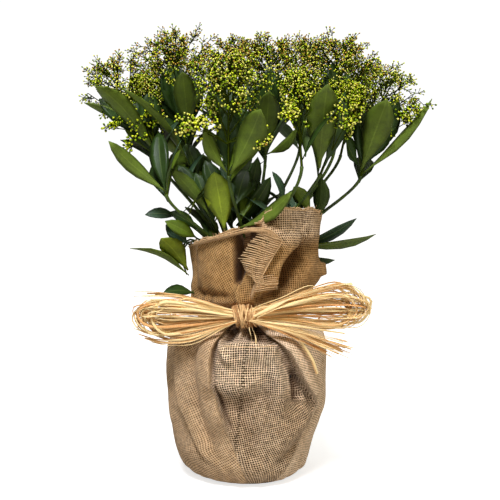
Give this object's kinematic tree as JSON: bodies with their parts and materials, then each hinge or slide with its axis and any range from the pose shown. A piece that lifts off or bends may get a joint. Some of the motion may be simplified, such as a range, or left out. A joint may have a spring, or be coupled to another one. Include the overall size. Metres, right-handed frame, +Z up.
{
  "type": "potted skimmia shrub",
  "caption": "Evergreen skimmia in flower bud, in a nursery pot that is gift-wrapped in a hessian bag and tied with a raffia bow.",
  "frame": {"origin": "middle of the flat underside of the wrapped pot, on the ground", "axes": "+Z up the plant, the raffia bow faces -Y, +X to the right of someone looking at the bow"},
  "size_m": [0.3723, 0.2624, 0.4933],
  "materials": {
    "hessian": "open plain weave, dull",
    "raffia": "dry split leaf, slightly glossy",
    "foliage": "leathery and glossy above, paler and dull below",
    "flower_buds": "waxy",
    "bark": "smooth green bark",
    "wood": "grey-brown ridged bark",
    "nursery_pot": "matte",
    "compost": "crumbly, damp"
  },
  "bodies": {
    "root": {"bough_back": "wood", "bough_front": "wood", "bough_left": "wood", "bough_right": "wood", "compost": "compost", "flowers_back_left": "flower_buds", "flowers_back_middle": "flower_buds", "flowers_back_right": "flower_buds", "flowers_centre_top": "flower_buds", "flowers_front_left": "flower_buds", "flowers_front_right": "flower_buds", "flowers_left_low": "flower_buds", "flowers_left_outer": "flower_buds", "flowers_left_top": "flower_buds", "flowers_right_back": "flower_buds", "flowers_right_low": "flower_buds", "flowers_right_outer": "flower_buds", "flowers_right_top": "flower_buds", "leaves_back_left": "foliage", "leaves_back_middle": "foliage", "leaves_back_right": "foliage", "leaves_centre_top": "foliage", "leaves_front_left": "foliage", "leaves_front_right": "foliage", "leaves_left_low": "foliage", "leaves_left_outer": "foliage", "leaves_left_top": "foliage", "leaves_right_back": "foliage", "leaves_right_low": "foliage", "leaves_right_outer": "foliage", "leaves_right_top": "foliage", "low_leaves_back": "foliage", "low_leaves_front": "foliage", "low_leaves_left": "foliage", "low_leaves_right": "foliage", "pot": "nursery_pot", "raffia_band": "raffia", "raffia_knot": "raffia", "raffia_loop_left": "raffia", "raffia_loop_right": "raffia", "raffia_tails_left": "raffia", "raffia_tails_right": "raffia", "stem_back_left": "bark", "stem_back_middle": "bark", "stem_back_right": "bark", "stem_centre_top": "bark", "stem_front_left": "bark", "stem_front_right": "bark", "stem_left_low": "bark", "stem_left_outer": "bark", "stem_left_top": "bark", "stem_right_back": "bark", "stem_right_low": "bark", "stem_right_outer": "bark", "stem_right_top": "bark", "trunk": "wood", "wrap_bag": "hessian", "wrap_ruff_back": "hessian", "wrap_ruff_left": "hessian", "wrap_ruff_right": "hessian"}
  },
  "joints": []
}
